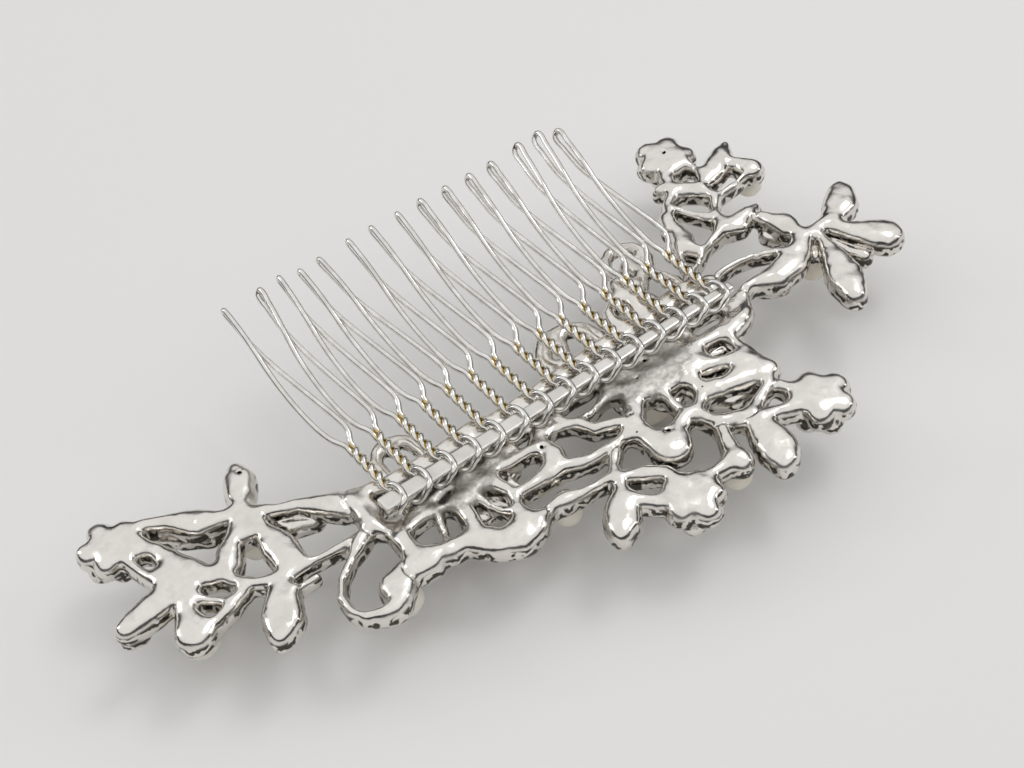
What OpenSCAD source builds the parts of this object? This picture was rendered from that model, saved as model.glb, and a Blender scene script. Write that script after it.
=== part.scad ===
// Decorative hair comb: a wire comb wound onto a flat bar, soldered to a cast
// spray of leaves and flowers set with pearls and clear stones. Millimetres.
// The origin is the centre of the bar, +X runs along the bar, +Y runs to the
// tips of the tines and +Z points out of the back of the comb.

/* [Comb] */
// Length of the flat bar
bar_length = 59.4; // [50:0.2:80]
// Width of the bar, from the tines' side to the other
bar_width = 2.6; // [2:0.1:4]
// Thickness of the bar
bar_thickness = 1.1; // [0.8:0.1:2]
// Bar left beyond the outermost tine at each end
bar_end = 2.4; // [2:0.1:4]
// Distance from the middle of the bar to the tips of the tines
tine_reach = 38.9; // [30:0.1:60]
// Height that the tips rise above the bar
tine_lift = 6.4; // [2:0.1:12]
// Diameter of the wire
wire_d = 0.8; // [0.6:0.05:1]
// Length of the twisted pair below each loop
twist_length = 8.4; // [6:0.1:12]
// Width of a loop at its widest, between wire centres
loop_width = 3.3; // [2.6:0.1:3.8]
// Lean of the outermost tines away from the middle, degrees
fan_angle = 3.2; // [0:0.1:5]

/* [Casting] */
// Overall length of the cast spray
ornament_length = 123; // [100:1:150]
// Thickness of stems, leaves and lace
cast_t = 2; // [1.4:0.1:3]
// Depth of the rounded-over step along each cast edge
cast_edge = 0.35; // [0.2:0.05:0.45]
// Thickness of leaves and petals that stand in front of the lace
front_t = 1.3; // [1:0.1:2]
// Fillet between crossing stems
web = 0.45; // [0.2:0.05:0.8]

/* [Pearls and stones] */
// Diameter of the pearl in the middle flower
pearl_large = 7; // [6:0.1:8]
// Diameter of the pearls in the scroll, the side flower and the cups
pearl_medium = 5.2; // [4.2:0.1:6.4]
// Diameter of the small pearls along the twigs
pearl_small = 4.2; // [3.4:0.1:5.2]
// Diameter of the peg that each pearl is glued on
peg_d = 1; // [0.6:0.1:1.4]
// Diameter of the stone in each flower
flower_stone_d = 3; // [2:0.1:4]
// Diameter of the small stones set along the leaves
leaf_stone_d = 1.5; // [1:0.1:2]

/* [Hidden] */

$fn = 32;
tine_count = 15;
wrap_gap = 0.02;         // wire to bar, and strand to strand in a twist
seat_gap = 0.02;         // pearl to cup, and peg to hole
sink = 0.3;              // how far cast cups and petals run into a plate
wire_sides = 6;
twist_turns = 2.25;
turn_steps = 6;

tine_pitch = (bar_length - 2 * bar_end) / (tine_count - 1);
wire_r = wire_d / 2;
wrap_r = wire_r * 1.05 + wrap_gap;      // wire centre to the bar's faces
twist_start = bar_width / 2 + 0.9;
twist_end = twist_start + twist_length;
leg_length = tine_reach - twist_end;

k = ornament_length / 122;              // the layout below is drawn at 122 mm
shift = [0.5, 0.3];                    // the spray sits this far off the bar's centre
shift_3 = [shift[0], shift[1], 0];
cast_z = -(bar_thickness / 2 + wrap_r + wire_r * 1.05 + wrap_gap);
front_z = cast_z - cast_t;              // front face of the main castings
flower_z = front_z - front_t;           // front face of petals set on them
rail_width = bar_width * 0.9;

silver = "gainsboro";
pearl_colour = "ivory";
stone_colour = "aliceblue";

// ---------------------------------------------------------------- the comb

function unit(v) = v / norm(v);

// Small differences of the hand-bent loops, in mm: sideways lean of the tip,
// extra reach, and half the sideways opening of the eye below the tip.
tip_lean = [-0.4, 1.2, 0.6, -0.6, -1.4, -0.3, -0.4, 0, -0.2, 0, 0.1, 0, 1.4, 1.1, -0.4];
tip_reach = [-0.1, 0, 0.3, -0.6, -0.4, 0, 0.1, 0, 0, -0.2, -0.3, -0.3, 0.4, 0.5, -1.2];
tip_eye = [0, 0.3, 0, 0, 0, 0, 0, 0, 0.2, 0.2, 0.25, 0.25, 0.45, 0.5, 0.4];

function tine_x(i) = (i - (tine_count - 1) / 2) * tine_pitch;

// Strand position in the twist: s runs 0..1 from the bar, side is 0 or 180.
function twist_point(s, side) =
    let (a = 90 - 360 * twist_turns * s + side, r = wire_r * 1.05 + wrap_gap / 2)
    [r * cos(a), twist_start + twist_length * s, r * sin(a)];

// Sideways bow of the two legs, as [share of length, share of half width].
left_bow = [[0.035, 0.25], [0.09, 0.65], [0.15, 0.88], [0.24, 1], [0.42, 0.96],
    [0.58, 0.74], [0.72, 0.44], [0.82, 0.22], [0.91, 0.08]];
right_bow = [[0.035, 0.3], [0.08, 0.75], [0.125, 0.97], [0.18, 0.92], [0.3, 0.6],
    [0.45, 0.2], [0.6, -0.08], [0.74, -0.2], [0.82, -0.16], [0.91, -0.06]];

// Eyes stand taller towards the right-hand end of the comb.
function eye_r(i) = wire_d * (i < tine_count / 2 ? 0.6 : 0.85);

// A point on the inclined line of a loop: v along it, u aside, w above it.
function leg_point(v, u, w, i) =
    let (fan = fan_angle * (2 * i / (tine_count - 1) - 1), s = v / leg_length)
    [u + v * tan(fan) + tip_lean[i] * pow(s, 2),
     twist_end + v * (1 + tip_reach[i] / leg_length),
     tine_lift * s + w];

// The left leg climbs above the right one, so that the eye stands upright.
function leg(i, side) =
    let (shift = 0.8 * i / (tine_count - 1) - 0.2,
         half = loop_width / 2 + side * shift)
    [for (p = side < 0 ? left_bow : right_bow)
        let (s = p[0], rise = max(0, min(1, (s - 0.5) / 0.22)))
        leg_point(s * leg_length,
            side * half * p[1] - side * tip_eye[i] * max(0, s - 0.6) / 0.4,
            -side * eye_r(i) * rise, i)];

function loop_tip(i) = [for (a = [90 : -36 : -90])
    leg_point(leg_length - eye_r(i) * (1 - cos(a)), tip_eye[i] * sin(a),
        eye_r(i) * sin(a), i)];

// The winding over the bar, from the twist to under the bar one pitch along.
function wrap_over(last) =
    let (a = bar_width / 2, h = bar_thickness / 2, c = 0.78 * wrap_r)
    concat(
        [[0.35, a + c, h + c], [0.65, a * 0.5, h + wrap_r],
         [0.6, -a * 0.5, h + wrap_r], [0.15, -a - c, h + c],
         [-0.8, -a - wrap_r, 0]],
        last ? [[-1.1, -a - wrap_r, -h]] :
        [[-0.46 * tine_pitch, -a - c, -h - c],
         [-0.64 * tine_pitch, -a * 0.85, -h - wrap_r],
         [-0.78 * tine_pitch, -a * 0.3, -h - wrap_r]]);

function wrap_under() =
    let (a = bar_width / 2, h = bar_thickness / 2, c = 0.78 * wrap_r)
    [[0.22 * tine_pitch, -a * 0.3, -h - wrap_r],
     [0.1 * tine_pitch, a * 0.4, -h - wrap_r], [0.08, a + c, -h - c]];

function reversed(v) = [for (i = [len(v) - 1 : -1 : 0]) v[i]];

function twist(side) = let (n = round(twist_turns * turn_steps))
    [for (j = [0 : n]) twist_point(j / n, side)];

function tine_path(i) = [for (p = concat(
        wrap_under(), twist(180), leg(i, -1), loop_tip(i),
        reversed(leg(i, 1)), reversed(twist(0)), wrap_over(i == 0)))
    p + [tine_x(i), 0, 0]];

// A round wire through the points of a path, with a frame carried along it.
module wire(path) {
    n = len(path);
    tangents = [for (i = [0 : n - 1])
        unit(path[min(i + 1, n - 1)] - path[max(i - 1, 0)])];
    normals = [for (i = 0, u = unit(cross(tangents[0], [1, 0.2, 0.1])); i < n;
        u = unit(u - (u * tangents[min(i + 1, n - 1)]) * tangents[min(i + 1, n - 1)]),
        i = i + 1) u];
    points = [for (i = [0 : n - 1], j = [0 : wire_sides - 1])
        let (a = 360 * j / wire_sides, r = wire_r * 1.05)
        path[i] + r * (cos(a) * normals[i] + sin(a) * cross(tangents[i], normals[i]))];
    sides = [for (i = [0 : n - 2], j = [0 : wire_sides - 1])
        let (a = i * wire_sides + j, b = i * wire_sides + (j + 1) % wire_sides)
        each [[a, a + wire_sides, b], [b, a + wire_sides, b + wire_sides]]];
    ends = [[for (j = [0 : wire_sides - 1]) j],
        [for (j = [wire_sides - 1 : -1 : 0]) (n - 1) * wire_sides + j]];
    polyhedron(points, concat(sides, ends), convexity = 10);
}

module tine(i) color(silver) wire(tine_path(i));

module comb_bar() color(silver)
    translate([0, 0, -bar_thickness / 2]) linear_extrude(bar_thickness)
        offset(r = bar_width * 0.2) offset(delta = -bar_width * 0.2)
            square([bar_length, bar_width], center = true);

// Solder between the bar and the casting, clear of the windings.
module solder_joints() color("darkgray")
    for (i = [1 : 3 : tine_count - 2])
        translate([tine_x(i) - tine_pitch * 0.39, bar_width * 0.1, cast_z])
            cylinder(d = tine_pitch * 0.44, h = -bar_thickness / 2 - cast_z);

// ------------------------------------------------------------- the castings

// Outline of a tapering link between two rounds, each [x, y, radius].
function link_outline(a, b) =
    let (d = norm([b[0] - a[0], b[1] - a[1]]),
         way = atan2(b[1] - a[1], b[0] - a[0]),
         lean = acos(max(-0.98, min(0.98, (a[2] - b[2]) / d))),
         step = 36)
    concat(
        [for (t = [way + lean : (360 - 2 * lean) / ceil((360 - 2 * lean) / step)
                : way + 360.01 - lean]) [a[0] + a[2] * cos(t), a[1] + a[2] * sin(t)]],
        [for (t = [way - lean : 2 * lean / ceil(2 * lean / step)
                : way + lean + 0.01]) [b[0] + b[2] * cos(t), b[1] + b[2] * sin(t)]]);

module stroke(pts) for (i = [0 : len(pts) - 2])
    translate(shift) scale(k) polygon(link_outline(pts[i], pts[i + 1]));

module strokes(list) for (s = list) stroke(s);

// Strokes grown together at their crossings, with openings cut through.
module outline(list, holes = []) difference() {
    offset(r = -web, $fn = 8) offset(delta = web) strokes(list);
    strokes(holes);
}

// A cast plate with stepped edges, from its back face at z down by t.
module plate(z = cast_z, t = cast_t) {
    translate([0, 0, z - t + cast_edge]) linear_extrude(t - 2 * cast_edge) children();
    translate([0, 0, z - t]) linear_extrude(t) offset(delta = -cast_edge) children();
}

// Leaves and petals in front of the main plate, let a little way into it.
module front_plate() plate(front_z + sink, front_t + sink) children();

// Five round petals of a flower [x, y, reach, turn].
function petals(f) = [for (a = [0 : 72 : 288])
    [[f[0], f[1], f[2] * 0.35],
     [f[0] + f[2] * 0.6 * cos(a + f[3]), f[1] + f[2] * 0.6 * sin(a + f[3]), f[2] * 0.4]]];

// The front row of petals stands between those behind it.
function front_petals(f) = petals([f[0], f[1], f[2] * 0.9, f[3] + 36]);

// A pearl is [x, y, diameter, face that it is set on, gap to that face].
function pearl_z(p) = p[3] - p[4] - p[2] / 2;

module pearl(p) color(pearl_colour) translate([p[0] * k, p[1] * k, pearl_z(p)] + shift_3)
    difference() {
        sphere(d = p[2]);
        cylinder(d = peg_d + 2 * seat_gap, h = p[2]);
    }

// Cup with its peg, cast with the plate that carries the pearl.
module cup(p) translate([p[0] * k, p[1] * k, 0] + shift_3) {
    difference() {
        translate([0, 0, pearl_z(p) + p[2] * 0.32])
            cylinder(d = p[2] * 0.7, h = p[3] + sink - pearl_z(p) - p[2] * 0.32);
        translate([0, 0, pearl_z(p)]) sphere(d = p[2] + 2 * seat_gap);
    }
    translate([0, 0, pearl_z(p) + seat_gap])
        cylinder(d = peg_d, h = p[3] + sink - pearl_z(p) - seat_gap);
}

middle_pearl = [11, -3, pearl_large, flower_z, 0.2];
side_pearl = [-17, -3.6, pearl_medium, flower_z, 0.2];
hook_pearl = [-33.8, -9.2, pearl_medium, front_z, 0.2];
left_cup_pearl = [-56.6, 2.2, pearl_medium, front_z, 0];
left_leaf_pearl = [-43.9, 10, pearl_small, front_z, 0.2];
left_lace_pearl = [-12.6, 3.6, pearl_small, front_z, 0];
lower_stem_pearl = [-10.4, -12.4, pearl_small, front_z, 0.2];
lower_arc_pearl = [9.6, -22.4, pearl_small, front_z, 0];
right_spray_pearl = [44.4, -0.8, pearl_small, front_z, 0.4];
right_ring_pearl = [24.6, 16.2, pearl_medium, flower_z, 0];
upper_bud_pearl = [50.2, 18.9, pearl_small, front_z, 0];

// Five-petalled flowers as [x, y, reach, turn].
left_flower = [-59.4, 19, 4.4, 20];
lower_flower = [1, -23.8, 4.4, 50];
right_flower = [24.4, -22.4, 4.7, 5];
upper_flower = [42, 28.9, 4.8, 40];

// Leaves as rounds from base to tip. A stone is set at each broad round.
centre_leaves = [
    [[-24.2, -11.2, 1.1], [-21.6, -13.4, 1.8], [-18.8, -14.7, 2], [-16.6, -14.5, 1.6],
     [-14.8, -13.8, 0.9]],
    [[17, -3.8, 1.4], [20.4, -4.2, 0.9], [24.4, -5.2, 1.9], [27.4, -3.8, 1.9],
     [29.4, -1.6, 1.2]],
    [[3.4, -10.4, 1.4], [2.9, -13.6, 1.5], [4.4, -15.6, 2.9], [6.6, -14.4, 1.4],
     [9.4, -13, 1.2]],
    [[17.4, 4.6, 1.4], [18.4, 8.4, 1.8], [18.4, 11.6, 1.7]]];
left_leaves = [
    [[-43.4, 13, 0.7], [-42.4, 15, 1.9], [-41.3, 17.2, 2.2], [-40.7, 19.4, 0.9]],
    [[-43.3, 11, 0.8], [-43, 7.6, 1.4], [-42.7, 4.2, 2.3], [-42.8, 1.6, 2.3],
     [-43.6, 0, 1.3]],
    [[-44.4, 12, 0.7], [-46.7, 9.6, 1.1], [-48.3, 7.5, 1.8], [-48.9, 5.8, 1.4]],
    [[-56, 7.4, 1.6], [-59.8, 6.8, 2.1], [-63.6, 6.1, 1.4]],
    [[-45.4, -0.6, 1.3], [-46.6, -2.8, 2.3], [-47.9, -5, 2.7], [-49, -6.6, 1.9],
     [-49.8, -7.5, 1]]];
lower_leaves = [
    [[-5, -17, 0.9], [-6.6, -19, 2.1], [-8, -20.8, 2.4], [-9.2, -22.2, 1.5]],
    [[-3.4, -15.8, 0.9], [-1, -17, 1.3], [1, -18.8, 1.1], [1.9, -20.3, 0.5]]];
lower_right_leaves = [
    [[15, -19.6, 1.2], [14.9, -22, 2.2], [14.4, -24.6, 2.8], [13.6, -26.6, 2],
     [13, -27.5, 1.1]]];
right_leaves = [
    [[48.6, 1.6, 1], [51.2, 1.8, 1.9], [53.7, 3.1, 2.6], [55.3, 4.7, 2],
     [56.1, 5.7, 1]],
    [[48.8, -0.2, 0.9], [51, -3.4, 2], [53.2, -6, 2.9]],
    [[46, -1, 0.8], [44.7, -4.6, 1.8], [43, -8.4, 2.8], [41.3, -11.8, 1.7]],
    [[44.4, 2.8, 1.4], [44.3, 5.4, 2.1], [43, 8.4, 1.1]]];
upper_leaves = [
    [[36.6, 10.6, 1.1], [39.4, 9.9, 1.8], [42, 10.6, 1.2], [44.2, 10.8, 0.6]],
    [[42.8, 20.2, 1.4], [45.2, 21.2, 1.9], [47.6, 22.6, 2.1], [49.8, 24, 1.2],
     [50.8, 24.8, 0.5]],
    [[30.8, 9.8, 0.8], [31.6, 12.8, 1.7], [32.4, 15.8, 1.1]]];

// Leaves and petals that stand in front of the main plates.
centre_fronts = [
    [[-30.6, 2.8, 1.4], [-28.2, 2, 1.5]],
    [[14, -12, 0.9], [16.4, -13.8, 1.3], [19.6, -14, 1.2]],
    [[19.6, -6.2, 0.8], [21.4, -6.8, 0.8], [22.4, -5, 0.8]]];
left_fronts = [
    [[-41, 9.8, 0.7], [-39, 7.8, 1.7], [-36.6, 6.8, 1.6], [-34.6, 7.6, 0.7]],
    [[-53.6, 18.2, 0.8], [-51.2, 15.6, 1.3], [-48.4, 13.6, 1.4], [-46, 13, 0.8]],
    [[-64, 6.1, 0.9], [-62.2, 6, 1.1]]];
right_fronts = [
    [[34, -1.2, 0.8], [36.6, -1.8, 1.8], [39.4, -1, 1.4]],
    [[48, -0.4, 0.7], [48.6, -3.6, 1.2], [49.3, -6.2, 1.2]],
    [[43.2, 3.6, 0.8], [42.4, 6.4, 1.3], [43.2, 8.2, 0.6]]];

module centre_outline() {
    outline(concat(centre_leaves, [
        // rail that the comb's bar is soldered to, and the edge beyond it
        [[-31.4, 5.4, 0.9], [-27, 3.8, 1.2], [-20, 3.4, 1.4], [-13, 3.6, 1.8],
         [-9.6, 3, 1.4], [-5, 3.4, 1.2], [1, 3.6, 1.4], [8, 3.8, 1.6], [14, 4, 1.6],
         [20, 4.2, 1.8], [24.5, 4.6, 1.8], [28.6, 3.6, 1.2]],
        // left end, closing on the hook and the lower stem
        [[-31.4, 4.2, 1.5], [-31.2, 2, 1.9], [-32.1, -0.6, 1.4], [-30.4, -2.6, 1.2],
         [-30.4, -7.4, 1.4], [-31.6, -10, 1.5], [-29.4, -10.6, 1.2]],
        [[-29.8, -3.8, 1.4], [-26, -3, 1.5], [-21, -3, 2], [-17, -3.6, 2.4]],
        [[-29.8, -8.8, 1.4], [-26.6, -10.6, 1.2], [-22.6, -10.4, 1.3], [-21.6, -6, 1.2],
         [-22.6, -4, 1.2]],
        [[-24.4, -4, 0.5], [-26.6, -9.8, 0.5]],
        [[-19.6, -4.8, 0.7], [-19, -8, 0.45], [-17.4, -11.6, 0.5]],
        [[-22.4, -11, 1.1], [-20, -12.8, 0.8], [-16.4, -12, 0.9]],
        [[-17, -4, 1.4], [-15.6, -8, 0.9], [-16.4, -11, 0.9], [-16.2, -13.6, 1]],
        [[-15.8, -9, 0.9], [-12.4, -9, 1], [-9, -8.8, 1.7], [-7.8, -6.6, 1.6],
         [-8.2, -4.8, 1.5]],
        [[-16, -3, 1.2], [-10.2, -4.4, 0.7], [-5.4, -2.2, 1.5]],
        [[-14.4, -1.6, 1], [-11, -1, 0.8], [-11.2, -3.6, 0.7]],
        [[-9, -9, 1.2], [-4.6, -10.8, 0.9], [0, -10.7, 0.8], [3.4, -10.2, 1.3]],
        [[-5, -2.2, 1.3], [-2.4, -4.4, 0.8], [-1.2, -7, 0.8], [2.2, -8.4, 0.8],
         [4, -9, 1.4]],
        [[-2.6, -4.4, 0.6], [0.4, -4.6, 0.4], [4.6, -3, 0.9]],
        [[-4.4, 1.6, 1.4], [-4, -2, 1.4]],
        // broad frosted plate and the links around its openings
        [[5.4, -3, 2], [11, -3, 3.8], [15, -4, 3.4]],
        [[4.6, -8.8, 1.1], [6.2, -6, 1.5], [9, -6.6, 1.8], [11.6, -7.4, 1.6], [14, -7.8, 1.3]],
        [[9.6, -8, 0.7], [9.2, -13, 0.6]],
        [[13.6, -7, 1.3], [13.8, -11.4, 1.2], [11.4, -13.2, 0.9], [9.4, -13.6, 1]],
        [[14.4, -8, 1.3], [17.6, -8.8, 1], [21.6, -9.8, 0.9]],
        [[16.6, -4.6, 2], [17.6, -7.4, 1.3]],
        [[18.2, -4.5, 1.5], [21.8, -5.1, 1.1]],
        [[14, -11.6, 1.5], [17.6, -12.9, 1.5], [21.2, -12.8, 2.6], [22.6, -14, 1.8]],
        [[22.8, -7.8, 0.8], [22.6, -10.6, 1.4], [21.8, -12.4, 2]],
        // links to the big curved leaf at the right end
        [[23, -6, 1], [22.8, -8, 0.8]],
        [[19, -0.6, 1], [19, -4, 1]],
        [[26.4, -1, 1.4], [27.6, 2, 1.4]],
        [[13, 4.6, 1.4], [13.6, 8, 0.9], [17.2, 10.6, 1]],
        // links that carry the lower right twig
        [[10.4, -13.4, 1], [11.2, -16.6, 0.9], [15.4, -18.4, 1.1], [20.4, -16.6, 0.9],
         [22, -14.6, 1.4]]]),
        [
        // pits and pinholes left by trapped gas
        [[-23.2, -3.5, 0.5], [-21.4, -2.9, 0.5]],
        [[5.4, -14.1, 0.35], [5.5, -14.1, 0.35]],
        [[-8.6, -5.3, 0.3], [-8.5, -5.3, 0.3]],
        [[11.6, -1.9, 0.35], [11.7, -1.9, 0.35]],
        [[8.4, -4.1, 0.25], [8.5, -4.1, 0.25]]]);
    translate([0, bar_width * 0.05])
        square([bar_length - 2 * bar_end, rail_width], center = true);
}

module centre_casting() color(silver) {
    plate() centre_outline();
    front_plate() strokes(centre_fronts);
    cup(left_lace_pearl);
}

module hook_outline() difference() {
    outline([
        [[-33.6, -1.4, 1.1], [-36.8, -3.4, 0.7], [-39.4, -5.2, 0.6], [-41, -7.6, 0.65],
         [-41.2, -10, 0.6], [-40.2, -11.8, 0.75], [-38.2, -12.9, 0.9],
         [-36.4, -12.9, 1.3]],
        [[-35.6, -12.4, 1.5], [-34.7, -10.4, 2.4], [-33.2, -9.2, 1.6], [-30.6, -9, 1.2]]]);
    centre_outline();
}

module hook_scroll() color(silver) {
    plate() hook_outline();
    difference() {
        cup(hook_pearl);
        translate([0, 0, front_z]) linear_extrude(cast_t) centre_outline();
    }
}

module left_outline() difference() {
    outline(concat(left_leaves, petals(left_flower), [
        [[-54.6, 19.1, 1], [-51.8, 17.4, 1.2], [-49.1, 15, 2.1], [-46.4, 13.4, 1.2],
         [-44.2, 12.7, 0.9]],
        [[-59, 16.6, 1], [-58.3, 13, 0.7], [-57.2, 9.6, 1.1], [-55.6, 8, 1.8]],
        [[-57, 17.4, 1.6], [-55, 14, 1.3], [-54.4, 11, 1.8], [-53.2, 8.8, 1.8],
         [-51.4, 6.4, 1], [-49.4, 3, 0.9], [-47.4, 1, 0.8], [-44.6, -0.2, 1],
         [-40, -0.6, 0.6], [-36, -1, 0.7], [-32.6, -0.8, 0.9]],
        [[-43.6, 12.4, 1.3], [-40.2, 9.7, 0.9], [-37.4, 8.4, 1], [-34.8, 6.2, 1.7],
         [-32.6, 4.4, 2.2]],
        [[-56.4, 7, 1.2], [-53.6, 6.8, 0.6], [-52, 5.4, 0.6]],
        [[-56, 5.6, 1], [-53.6, 3, 0.6], [-51.4, 0.9, 0.8]],
        [[-52.6, 7, 0.6], [-54.6, 4.6, 0.6]],
        [[-56.2, 5.4, 0.8], [-56.8, 2.8, 1.5], [-57.2, 0.2, 2.6], [-55, -0.6, 0.8],
         [-52, 0.3, 0.8], [-49.4, 1.6, 0.9]],
        [[-45.3, 11, 0.6], [-45.3, 8.6, 0.9]],
        [[-46.6, -2.8, 0.4], [-41.4, -2.7, 0.35]]]),
        [[[-40.7, 18.2, 0.35], [-40.6, 18.2, 0.35]]]);
    centre_outline();
    hook_outline();
}

module left_spray() color(silver) {
    plate() left_outline();
    front_plate() strokes(concat(left_fronts, front_petals(left_flower)));
    cup(left_cup_pearl);
    cup(left_leaf_pearl);
}

module lower_outline() difference() {
    outline(concat(lower_leaves, petals(lower_flower), [
        [[-14.6, -13.8, 0.9], [-12.8, -13.4, 0.9], [-11.2, -13.6, 1.3], [-9, -14.4, 0.8],
         [-6, -14.6, 0.7], [-4.2, -14.7, 0.9], [-2.4, -12.6, 0.75], [-0.8, -11, 0.9]],
        [[-4.2, -14.8, 0.9], [-5.1, -17.4, 1.1], [-4.6, -19.6, 1], [-2.8, -21.6, 1.2],
         [-0.6, -22.6, 1.6]],
        [[1.6, -23.4, 1.8], [5.4, -22.8, 1], [8.4, -22.6, 1.2], [9.8, -21, 1.3],
         [10.9, -18.4, 0.9], [11, -16.6, 0.8]],
        [[9.1, -22.1, 1.3], [9.3, -23.4, 1.8]]]),
        [[[-3.5, -17.8, 0.35], [-2.7, -18.9, 0.55], [-1.9, -20.2, 0.4]],
        [[3, -20, 0.45], [4.9, -20.5, 0.75]]]);
    centre_outline();
}

module lower_twig() color(silver) {
    plate() lower_outline();
    front_plate() strokes(front_petals(lower_flower));
    cup(lower_stem_pearl);
    cup(lower_arc_pearl);
}

module lower_right_outline() difference() {
    outline(concat(lower_right_leaves, petals(right_flower), [
        [[11, -16.8, 0.7], [12.8, -18.1, 0.7], [15.6, -19.3, 1.4], [18.6, -20.8, 1],
         [22, -21.8, 1.6]],
        [[21.2, -16.3, 0.9], [22.2, -18.6, 1], [24, -20.4, 1.8]]]));
    centre_outline();
    lower_outline();
}

module lower_right_twig() color(silver) {
    plate() lower_right_outline();
    front_plate() strokes(front_petals(right_flower));
}

module right_outline() difference() {
    outline(concat(right_leaves, [
        [[33, -1.1, 1.1], [36.2, -2, 2], [39.2, -1.5, 2.3], [41.8, -0.3, 1.9],
         [44, 1.2, 1.2]],
        [[27, -2.4, 1.4], [31, -0.9, 0.9], [33.6, -0.9, 1]],
        [[27.6, 3.8, 0.6], [33, 3.9, 0.5], [36.4, 3.2, 0.5], [40, 1.4, 0.6]],
        [[43, 1.2, 1.2], [47.4, 1.2, 1.4], [49, 1.2, 1.2]],
        [[46.4, 0.4, 0.9], [46, -1, 0.8]],
        [[42.4, 0, 0.9], [44, 1.4, 1]]]));
    centre_outline();
}

module right_spray() color(silver) {
    plate() right_outline();
    front_plate() strokes(right_fronts);
    cup(right_spray_pearl);
}

module upper_outline() difference() {
    outline(concat(upper_leaves, petals(upper_flower), [
        [[24.6, 5, 0.9], [29, 7, 0.45], [33, 9.2, 0.6], [36.6, 10.4, 1],
         [38.2, 12, 1.2], [38.8, 14, 0.7], [41.2, 16.6, 0.9], [40.8, 18.8, 0.9],
         [39.2, 20.8, 1.4], [37.6, 22.6, 1.4], [36, 23.6, 0.8]],
        [[37.6, 22.6, 1.2], [38.8, 25, 1.2], [40.4, 26.6, 1.6]],
        [[31, 10.4, 0.8], [31.4, 13.6, 1.1], [33, 17.6, 1], [35, 20.2, 0.8],
         [37.4, 21.4, 1.1], [38, 22.4, 1.2]],
        [[34.6, 19.6, 0.55], [36, 16.4, 0.45], [37.8, 13.2, 0.6]],
        [[43.4, 25.2, 0.7], [43.2, 22.8, 0.6], [42, 20, 0.9]],
        [[41.2, 19.8, 0.8], [43.4, 21, 1.1]],
        [[41.8, 16.4, 0.6], [45.4, 16.6, 0.5], [49, 17.6, 0.7]],
        [[48.7, 20.8, 0.8], [49.6, 17.7, 2]],
        [[29.8, 12.4, 0.7], [28.4, 9.6, 0.5], [27, 6.2, 0.6]],
        [[32.6, 18.2, 0.9], [31.4, 15.8, 0.9]]]));
    centre_outline();
    right_outline();
}

module upper_right_twig() color(silver) {
    plate() upper_outline();
    front_plate() strokes(front_petals(upper_flower));
    cup(upper_bud_pearl);
}

// Half-open petals in front of the lace, on the tines' side.
function arch(x, y, r, from, to, w) = [for (j = [0 : 9])
    let (a = from + (to - from) * j / 9) [x + r * cos(a), y + r * sin(a), w]];

module petal_plate(list) color(silver)
    plate(front_z, front_t) outline(list);

module ring_petal_left() petal_plate([
    concat([[-19.4, 3.6, 1]], arch(-22.6, 8.2, 3, 0, 180, 1), [[-25.6, 3.6, 1]]),
    [[-22.6, 10.6, 0.6], [-22, 4.4, 0.6]]]);

module ring_petal_middle() petal_plate([
    concat([[11, 4.6, 1.1]], arch(6.8, 7.8, 4.3, 0, 180, 1.3), [[2.6, 4.6, 1.1]]),
    [[4, 5, 0.7], [7.4, 11.6, 0.8]]]);

module ring_petal_right() {
    petal_plate([
        concat([[21.6, 4.8, 1.4], [20.9, 10, 1.2]], arch(23.9, 16.6, 3.3, 200, -90, 0.9)),
        [[24, 13.4, 0.9], [24.4, 16.2, 1.3]],
        [[20.9, 10, 1.2], [23.9, 13.4, 1.1]],
        [[26.6, 4.6, 0.9], [26.8, 9, 0.7], [25, 13, 0.7]]]);
    color(silver) cup(right_ring_pearl);
}

// Large flowers soldered to the front of the lace, each around its pearl.
module set_flower(f, p) color(silver) {
    plate(front_z, front_t) outline(petals(f));
    cup(p);
}

module middle_flower() set_flower([11, -3, 7, 54], middle_pearl);
module side_flower() set_flower([-17, -3.6, 6, 10], side_pearl);

// ------------------------------------------------------------------ stones

// Flat-backed stone on a face at z: a low cone with a flat table.
module stone(x, y, z, d) translate([x * k, y * k, z - d * 0.42] + shift_3) {
    translate([0, 0, d * 0.28]) cylinder(d = d, h = d * 0.14);
    cylinder(d1 = d * 0.55, d2 = d, h = d * 0.28);
}

module stones_along(list, z, least) for (s = list, p = s)
    if (p[2] >= least) stone(p[0], p[1], z, leaf_stone_d);

module flower_stones() color(stone_colour)
    for (f = [left_flower, lower_flower, right_flower, upper_flower])
        stone(f[0], f[1], flower_z, flower_stone_d);

module leaf_stones() color(stone_colour) {
    for (leaves = [centre_leaves, left_leaves, lower_leaves, lower_right_leaves,
            right_leaves, upper_leaves])
        stones_along(leaves, front_z, 1.5);
    for (fronts = [centre_fronts, left_fronts, right_fronts])
        stones_along(fronts, flower_z, 1.2);
}

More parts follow.
